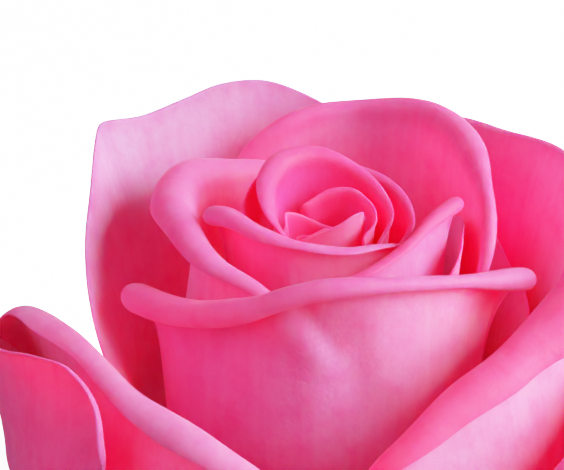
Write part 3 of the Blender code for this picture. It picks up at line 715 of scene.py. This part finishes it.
petal("petal_base_left",
      [(-43, 13, 30), (-46.4, 6, 36.5), (-47.2, -1.5, 40), (-45.6, -9, 42), (-42, -15.6, 44),
       (-37.6, -21, 46.4), (-33.6, -25.4, 47.2), (-30.4, -27.8, 43.5), (-29.2, -29.4, 36)],
      belly=43.6, pinks=BASE_PINKS_AND_SHADE, turn=(100,), lean=(5,), spread=0.3, belly_rise=8.5)
petal("petal_base_front",
      [(-22, -35.5, 22), (-20.5, -39, 28), (-15, -42.2, 33), (-6.5, -44, 35.8), (3, -44, 36),
       (11, -42.4, 34), (17, -39.6, 29.5), (19, -36.4, 23)],
      belly=38.6, pinks=BASE_PINKS_AND_SHADE, roll=(1.6,), turn=(130,), lean=(30,), spread=0.5)
petal("petal_base_right",
      [(22, -35.5, 23), (25.6, -35, 29), (31.4, -31, 34.6), (38.6, -22.6, 38.6), (44, -11, 40.4),
       (45.2, 1, 39.6), (44, 6.5, 36), (42.4, 9.5, 29)],
      belly=39.6, pinks=BASE_PINKS_AND_SHADE, roll=(1.6,), turn=(130,), lean=(30,), spread=0.5)
petal("petal_base_back_right",
      [(37.4, 12.5, 30), (39.4, 16, 37), (39, 21, 43), (34.4, 28, 47.4), (26, 35.2, 49.8),
       (16.6, 39.8, 48.6), (11, 41.2, 43), (8.5, 39.6, 34)],
      belly=36.4, pinks=BASE_PINKS_AND_SHADE, roll=(1.6,), turn=(130,), lean=(35,), spread=0.5)
petal("petal_base_back_left",
      [(3, 38.8, 33), (1, 41.2, 40), (-3.6, 42.6, 46.4), (-11.6, 41.4, 50), (-19.6, 36.6, 50),
       (-26, 29.8, 46), (-29.6, 23, 39), (-30, 19, 31)],
      belly=34.6, pinks=BASE_PINKS_AND_SHADE, roll=(1.6,), turn=(130,), lean=(35,), spread=0.5)

# The hip
# The green cup that the petals grow from, with a dome inside them and a stub of stem below.
# It is a turned form with five faint shoulders, cut square where it stands.
HIP_LINE = [(3.0, 0.25), (3.05, 1.8), (3.7, 3.2), (6.0, 5.0), (7.8, 7.6), (8.6, 10.2)]
CUT_RADII = (0.6, 1.2, 1.8, 2.4, 2.8)
HIP_SIDES = 80
DOME_INSET = 0.5
DOME_ROWS = 14
SHOULDERS = 5
SHOULDER_HEIGHT = 0.22
SHOULDER_TURN = 18.0
SHOULDER_LEVEL = 7.5
SHOULDER_SPREAD = 2.5
HIP_ROW_POINTS = 40

hip_profile = [(r, 0.0) for r in CUT_RADII]
fine_line, _ = smooth_line(HIP_LINE)
hip_profile += [tuple(p) for p in fine_line[::HIP_ROW_POINTS]]
for row in range(DOME_ROWS):
    r, z = dome_point(1 - row / DOME_ROWS, 0)
    hip_profile.append((r - DOME_INSET, z))
hip_points = [(0, 0, 0)]
for r, z in hip_profile:
    for side in range(HIP_SIDES):
        angle = 2 * math.pi * side / HIP_SIDES
        shoulder = math.cos(SHOULDERS * (angle - math.radians(SHOULDER_TURN)))
        rise = math.exp(-((z - SHOULDER_LEVEL) / SHOULDER_SPREAD) ** 2)
        grown = r + SHOULDER_HEIGHT * shoulder * rise
        hip_points.append((grown * math.cos(angle), grown * math.sin(angle), z))
crown_r, crown_z = dome_point(0, 0)
hip_points.append((0, 0, crown_z))
hip_faces = []
for side in range(HIP_SIDES):
    beside = (side + 1) % HIP_SIDES
    hip_faces.append((0, beside + 1, side + 1))
    for row in range(len(hip_profile) - 1):
        a = row * HIP_SIDES + side + 1
        b = row * HIP_SIDES + beside + 1
        hip_faces.append((a, b, b + HIP_SIDES, a + HIP_SIDES))
    last = (len(hip_profile) - 1) * HIP_SIDES + 1
    hip_faces.append((last + side, last + beside, len(hip_points) - 1))
hip = add_mesh("hip", hip_points, hip_faces)
hip.data.shade_smooth()


def green_finish(name, light, dark, roughness=0.5):
    """Waxy skin with a soft mottle between two colours and a fine grain."""
    material, tree, shader = new_finish(name, {
        "Roughness": roughness, "Subsurface Weight": 0.3, "Subsurface Radius": (0.6, 1.0, 0.2),
        "Subsurface Scale": 0.8 * MM})
    solid = add_node(tree, "ShaderNodeTexCoord")
    mottle = add_node(tree, "ShaderNodeTexNoise", {"Scale": 420.0, "Detail": 4.0, "Roughness": 0.6})
    colours = two_colours(tree, (0.35, dark), (0.7, light))
    grain = add_node(tree, "ShaderNodeTexNoise", {"Scale": 2400.0, "Detail": 3.0})
    relief = add_node(tree, "ShaderNodeBump", {"Strength": 0.3, "Distance": 0.1 * MM})
    join(tree,
         (solid.outputs["Object"], mottle.inputs["Vector"]),
         (mottle.outputs["Fac"], colours.inputs["Fac"]),
         (colours.outputs["Color"], shader.inputs["Base Color"]),
         (solid.outputs["Object"], grain.inputs["Vector"]),
         (grain.outputs["Fac"], relief.inputs["Height"]),
         (relief.outputs["Normal"], shader.inputs["Normal"]))
    return material


hip.data.materials.append(green_finish("hip_green", (0.22, 0.36, 0.09), (0.12, 0.24, 0.05)))
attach(hip, "root")
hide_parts("calyx")

# The sepals
# Five green leaf-like guards that once wrapped the bud and have bent down to the surface.
# One is laid as a sheet with a raised rib and small side points, and the ring of five repeats it.
SEPAL_LINE = [(6.4, 10.4), (10, 10.6), (14.6, 9), (18.6, 5.6), (22, 1.6), (25.2, 0.7), (28.6, 2.2)]
SEPAL_WIDTHS = (5, 7, 7.6, 6.4, 4.6, 3, 1.2, 0.3)
SEPAL_ARCH = 0.10
SEPAL_ROWS = 90
SEPAL_COLUMNS = 20
SEPAL_THICKNESS = 0.7
SEPAL_EDGE = (0, 0.004, 0.015, 0.03)
MIDRIB_HEIGHT = 0.35
MIDRIB_WIDTH = 0.12
SEPAL_RIBS = 6.0
SEPAL_RIB_HEIGHT = 0.2
SIDE_POINTS = 7
POINT_LENGTH = 0.5
POINTS_END = 1.15
MARGIN_WAVE = 0.25
MARGIN_WAVE_RATE = 9
SEPALS = 5
FIRST_SEPAL = 18.0
SMALLEST_SEPAL = 0.96

sepal_line, sepal_length = smooth_line(SEPAL_LINE)
sepal_up = between_edges(sepal_length[-1], sepal_length[-1] / SEPAL_ROWS)
sepal_r = np.interp(sepal_up, sepal_length, sepal_line[:, 0])
sepal_z = np.interp(sepal_up, sepal_length, sepal_line[:, 1])
sepal_share = sepal_up / sepal_length[-1]
widths = spaced(SEPAL_WIDTHS, sepal_share)
saw = (sepal_share * SIDE_POINTS) % 1
points_out = POINT_LENGTH * saw ** 2 * np.sin(math.pi * np.clip(sepal_share * POINTS_END, 0, 1))
sepal_edge = np.array(SEPAL_EDGE)
edge_share = np.linspace(0, 1, SEPAL_COLUMNS + 1)
edge_share = np.concatenate([sepal_edge, edge_share[1:-1], 1 - sepal_edge[::-1]])
side = 2 * edge_share - 1
reach = (widths / 2 + points_out)[:, None] * side
wave = MARGIN_WAVE * np.sin(MARGIN_WAVE_RATE * sepal_share)[:, None] * side ** 2
midrib = MIDRIB_HEIGHT * np.exp(-(side / MIDRIB_WIDTH) ** 2)
lift = SEPAL_ARCH * widths[:, None] * side ** 2 + wave - midrib
sepal_grid = np.stack([sepal_r[:, None] + 0 * reach, reach, sepal_z[:, None] + lift], axis=2)


def ring_tree():
    """A tree that sets copies of a shape in a ring round the upright axis, each of a slightly other size."""
    tree, entry, exit_node = new_tree("Ring of sepals", {
        "Sepal": "Geometry", "Count": "Int", "First Turn": "Float", "Turn Between": "Float",
        "Smallest": "Float", "Seed": "Int", "Finish": "Material"}, "Ring")
    centres = add_node(tree, "GeometryNodePoints")
    number = add_node(tree, "GeometryNodeInputIndex")
    turn = sum_up(tree, "MULTIPLY_ADD", number.outputs["Index"], entry.outputs["Turn Between"],
                  entry.outputs["First Turn"])
    rotation = add_node(tree, "ShaderNodeCombineXYZ")
    size = add_node(tree, "FunctionNodeRandomValue", {"Max": 1.0}, data_type="FLOAT")
    copies = add_node(tree, "GeometryNodeInstanceOnPoints")
    real = add_node(tree, "GeometryNodeRealizeInstances")
    finish = add_node(tree, "GeometryNodeSetMaterial")
    join(tree,
         (entry.outputs["Count"], centres.inputs["Count"]),
         (turn, rotation.inputs["Z"]),
         (entry.outputs["Smallest"], size.inputs["Min"]),
         (entry.outputs["Seed"], size.inputs["Seed"]),
         (centres.outputs["Points"], copies.inputs["Points"]),
         (entry.outputs["Sepal"], copies.inputs["Instance"]),
         (rotation.outputs["Vector"], copies.inputs["Rotation"]),
         (size.outputs["Value"], copies.inputs["Scale"]),
         (copies.outputs["Instances"], real.inputs["Geometry"]),
         (real.outputs["Geometry"], finish.inputs["Geometry"]),
         (entry.outputs["Finish"], finish.inputs["Material"]),
         (finish.outputs["Geometry"], exit_node.inputs["Ring"]))
    return tree


sepal_rise = sepal_up[:, None] + 0 * reach
sepals = lay_sheet("sepals", sepal_grid, edge_share, sepal_rise, below=sepal_rise[-1] - sepal_rise)
sepal_green = green_finish("sepal_green", (0.30, 0.42, 0.16), (0.15, 0.28, 0.06), roughness=0.7)
grow(sepals, petal_skin, {
    "Thickness": SEPAL_THICKNESS * MM,
    "Rib Height": SEPAL_RIB_HEIGHT * MM,
    "Ribs Across": SEPAL_RIBS,
    "Ribs Along": RIB_BREAKS,
    "Seed": 1.0,
    "Finish": sepal_green})
grow(sepals, ring_tree(), {
    "Count": SEPALS,
    "First Turn": math.radians(FIRST_SEPAL),
    "Turn Between": 2 * math.pi / SEPALS,
    "Smallest": SMALLEST_SEPAL,
    "Seed": 4,
    "Finish": sepal_green})
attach(sepals, "root")
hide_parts("calyx")

# The stamens
# A tuft of thin cream stalks with yellow heads, standing on a low cushion shut inside the heart.
# The stalks stand in a sunflower's spiral and lean outward a little.
STALKS = 26
STALK_HEIGHT = 4.6
STALK_FOOT = 0.15
STALK_TOP = 0.1
HEAD_RADIUS = 0.42
TUFT_RADIUS = 1.45
CUSHION_RADIUS = 2.1
CUSHION_HEIGHT = 0.8
CUSHION_GAP = 0.3
GOLDEN_ANGLE = math.pi * (3 - math.sqrt(5))
LARGEST_LEAN = 0.12
STALK_SIZES = {"Min": 0.85, "Max": 1.05}
HEAD_PROPORTIONS = (1.0, 0.65, 0.8)


def tuft_tree():
    """A tree that plants stalks with heads in a spiral on a cushion."""
    tree, entry, exit_node = new_tree("Tuft of stamens", {
        "Count": "Int", "Height": "Float", "Foot Radius": "Float", "Top Radius": "Float",
        "Head Radius": "Float", "Tuft Radius": "Float", "Lean": "Float", "Floor": "Float",
        "Cushion Radius": "Float", "Seed": "Int", "Stalk Finish": "Material", "Head Finish": "Material"},
        "Tuft")
    feet = add_node(tree, "GeometryNodePoints")
    number = add_node(tree, "GeometryNodeInputIndex")
    turn = sum_up(tree, "MULTIPLY", number.outputs["Index"], GOLDEN_ANGLE)
    filled = sum_up(tree, "DIVIDE", sum_up(tree, "ADD", number.outputs["Index"], 0.5), entry.outputs["Count"])
    root = sum_up(tree, "SQRT", filled)
    out = sum_up(tree, "MULTIPLY", root, entry.outputs["Tuft Radius"])
    place = add_node(tree, "ShaderNodeCombineXYZ")
    rotation = add_node(tree, "ShaderNodeCombineXYZ")
    size = add_node(tree, "FunctionNodeRandomValue", STALK_SIZES)
    stalk = add_node(tree, "GeometryNodeMeshCone", {"Vertices": 7, "Side Segments": 4}, fill_type="NGON")
    head = add_node(tree, "GeometryNodeMeshUVSphere", {"Segments": 10, "Rings": 7})
    head_top = add_node(tree, "ShaderNodeCombineXYZ")
    raised = add_node(tree, "GeometryNodeTransform", {"Scale": HEAD_PROPORTIONS})
    cream = add_node(tree, "GeometryNodeSetMaterial")
    yellow = add_node(tree, "GeometryNodeSetMaterial")
    one = add_node(tree, "GeometryNodeJoinGeometry")
    copies = add_node(tree, "GeometryNodeInstanceOnPoints")
    real = add_node(tree, "GeometryNodeRealizeInstances")
    cushion = add_node(tree, "GeometryNodeMeshUVSphere", {"Segments": 32, "Rings": 16})
    cushion_floor = add_node(tree, "ShaderNodeCombineXYZ")
    flat = add_node(tree, "GeometryNodeTransform", {"Scale": (1.0, 1.0, CUSHION_HEIGHT / CUSHION_RADIUS)})
    cushion_cream = add_node(tree, "GeometryNodeSetMaterial")
    both = add_node(tree, "GeometryNodeJoinGeometry")
    smooth = add_node(tree, "GeometryNodeSetShadeSmooth")
    join(tree,
         (entry.outputs["Count"], feet.inputs["Count"]),
         (sum_up(tree, "MULTIPLY", out, sum_up(tree, "COSINE", turn)), place.inputs["X"]),
         (sum_up(tree, "MULTIPLY", out, sum_up(tree, "SINE", turn)), place.inputs["Y"]),
         (entry.outputs["Floor"], place.inputs["Z"]),
         (place.outputs["Vector"], feet.inputs["Position"]),
         (sum_up(tree, "MULTIPLY", root, entry.outputs["Lean"]), rotation.inputs["Y"]),
         (turn, rotation.inputs["Z"]),
         (entry.outputs["Seed"], size.inputs["Seed"]),
         (entry.outputs["Foot Radius"], stalk.inputs["Radius Bottom"]),
         (entry.outputs["Top Radius"], stalk.inputs["Radius Top"]),
         (entry.outputs["Height"], stalk.inputs["Depth"]),
         (entry.outputs["Head Radius"], head.inputs["Radius"]),
         (entry.outputs["Height"], head_top.inputs["Z"]),
         (head_top.outputs["Vector"], raised.inputs["Translation"]),
         (head.outputs["Mesh"], raised.inputs["Geometry"]),
         (stalk.outputs["Mesh"], cream.inputs["Geometry"]),
         (entry.outputs["Stalk Finish"], cream.inputs["Material"]),
         (raised.outputs["Geometry"], yellow.inputs["Geometry"]),
         (entry.outputs["Head Finish"], yellow.inputs["Material"]),
         (cream.outputs["Geometry"], one.inputs["Geometry"]),
         (yellow.outputs["Geometry"], one.inputs["Geometry"]),
         (feet.outputs["Points"], copies.inputs["Points"]),
         (one.outputs["Geometry"], copies.inputs["Instance"]),
         (rotation.outputs["Vector"], copies.inputs["Rotation"]),
         (size.outputs["Value"], copies.inputs["Scale"]),
         (copies.outputs["Instances"], real.inputs["Geometry"]),
         (entry.outputs["Cushion Radius"], cushion.inputs["Radius"]),
         (entry.outputs["Floor"], cushion_floor.inputs["Z"]),
         (cushion_floor.outputs["Vector"], flat.inputs["Translation"]),
         (cushion.outputs["Mesh"], flat.inputs["Geometry"]),
         (flat.outputs["Geometry"], cushion_cream.inputs["Geometry"]),
         (entry.outputs["Stalk Finish"], cushion_cream.inputs["Material"]),
         (real.outputs["Geometry"], both.inputs["Geometry"]),
         (cushion_cream.outputs["Geometry"], both.inputs["Geometry"]),
         (both.outputs["Geometry"], smooth.inputs["Geometry"]),
         (smooth.outputs["Geometry"], exit_node.inputs["Tuft"]))
    return tree


stamens = add_mesh("stamen_tuft", [(0, 0, 0)], [])
grow(stamens, tuft_tree(), {
    "Count": STALKS,
    "Height": STALK_HEIGHT * MM,
    "Foot Radius": STALK_FOOT * MM,
    "Top Radius": STALK_TOP * MM,
    "Head Radius": HEAD_RADIUS * MM,
    "Tuft Radius": TUFT_RADIUS * MM,
    "Lean": LARGEST_LEAN,
    "Floor": (CROWN_HEIGHT + CUSHION_GAP + CUSHION_HEIGHT) * MM,
    "Cushion Radius": CUSHION_RADIUS * MM,
    "Seed": 7,
    "Stalk Finish": green_finish("stalk_cream", (0.75, 0.62, 0.30), (0.62, 0.55, 0.25), roughness=0.7),
    "Head Finish": green_finish("head_yellow", (0.75, 0.50, 0.08), (0.55, 0.30, 0.05), roughness=0.9)})
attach(stamens, "root")
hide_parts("stamens")

# The stage
# A plain white floor under a faint pink sky, with a large soft light from the right. A weaker pink one from
# the left stands for the light that other petals throw back. The camera looks down on the rose from in front.
FLOOR_SIZE = 24000.0
TARGET = Vector((-5.4, 0, 54.25)) * MM
DISTANCE = 450.0 * MM
ELEVATION = 27.0
SENSOR = 36.0
LENS = 212.7
NEAREST_SEEN = 10.0
LIGHT_DISTANCE = 1500.0
SKY_COLOUR = (1.0, 0.8, 0.9, 1)
SKY_STRENGTH = 0.11

half_floor = FLOOR_SIZE / 2
floor = add_mesh("floor", [(-half_floor, -half_floor, 0), (half_floor, -half_floor, 0),
                           (half_floor, half_floor, 0), (-half_floor, half_floor, 0)], [(0, 1, 2, 3)])
white, _, _ = new_finish("floor_white", {
    "Base Color": (0.95, 0.95, 0.95, 1), "Roughness": 0.9, "Emission Color": (1, 1, 1, 1),
    "Emission Strength": 2.0})
floor.data.materials.append(white)
floor.visible_diffuse = False
floor.visible_glossy = False

world = bpy.data.worlds.new("sky")
world.use_nodes = True
sky = world.node_tree.nodes["Background"]
sky.inputs["Color"].default_value = SKY_COLOUR
sky.inputs["Strength"].default_value = SKY_STRENGTH
bpy.context.scene.world = world


def soft_light(name, azimuth, elevation, size, power, colour):
    """A square light turned to the rose. Azimuth 0 is in front of it and 90 to its right."""
    lamp = bpy.data.lights.new(name, "AREA")
    lamp.size = size * MM
    lamp.energy = power
    lamp.color = colour
    obj = bpy.data.objects.new(name, lamp)
    turn, tilt = math.radians(azimuth), math.radians(elevation)
    way = Vector((math.sin(turn) * math.cos(tilt), -math.cos(turn) * math.cos(tilt), math.sin(tilt)))
    obj.location = TARGET + LIGHT_DISTANCE * MM * way
    obj.rotation_euler = way.to_track_quat("Z", "Y").to_euler()
    bpy.context.scene.collection.objects.link(obj)


soft_light("key", azimuth=76, elevation=26, size=1100, power=83, colour=(1.0, 0.97, 0.92))
soft_light("fill", azimuth=-55, elevation=36, size=1400, power=19, colour=(1.0, 0.52, 0.74))

camera = bpy.data.objects.new("camera", bpy.data.cameras.new("camera"))
tilt = math.radians(ELEVATION)
back_off = Vector((0, -math.cos(tilt), math.sin(tilt)))
camera.location = TARGET + DISTANCE * back_off
camera.rotation_euler = back_off.to_track_quat("Z", "Y").to_euler()
camera.data.sensor_width = SENSOR
camera.data.lens = LENS
camera.data.clip_start = NEAREST_SEEN * MM
bpy.context.scene.collection.objects.link(camera)
bpy.context.scene.camera = camera

# The picture's tones bend over softly towards white, and light passes through many petals.
FULL_WHITE = 4.0
EXPOSED = 1.4
CURVE_LIGHTS = (0.1, 0.25, 0.5, 0.8, 1.2, 1.8, 2.6)
ALL_COLOURS = 3

scene = bpy.context.scene
scene.cycles.max_bounces = 24
scene.cycles.diffuse_bounces = 12
scene.cycles.transmission_bounces = 16
scene.view_settings.view_transform = "Standard"
scene.view_settings.use_curve_mapping = True
tones = scene.view_settings.curve_mapping
tones.white_level = (FULL_WHITE, FULL_WHITE, FULL_WHITE)
for light in CURVE_LIGHTS:
    tones.curves[ALL_COLOURS].points.new(light / FULL_WHITE, 1 - math.exp(-EXPOSED * light))
tones.update()
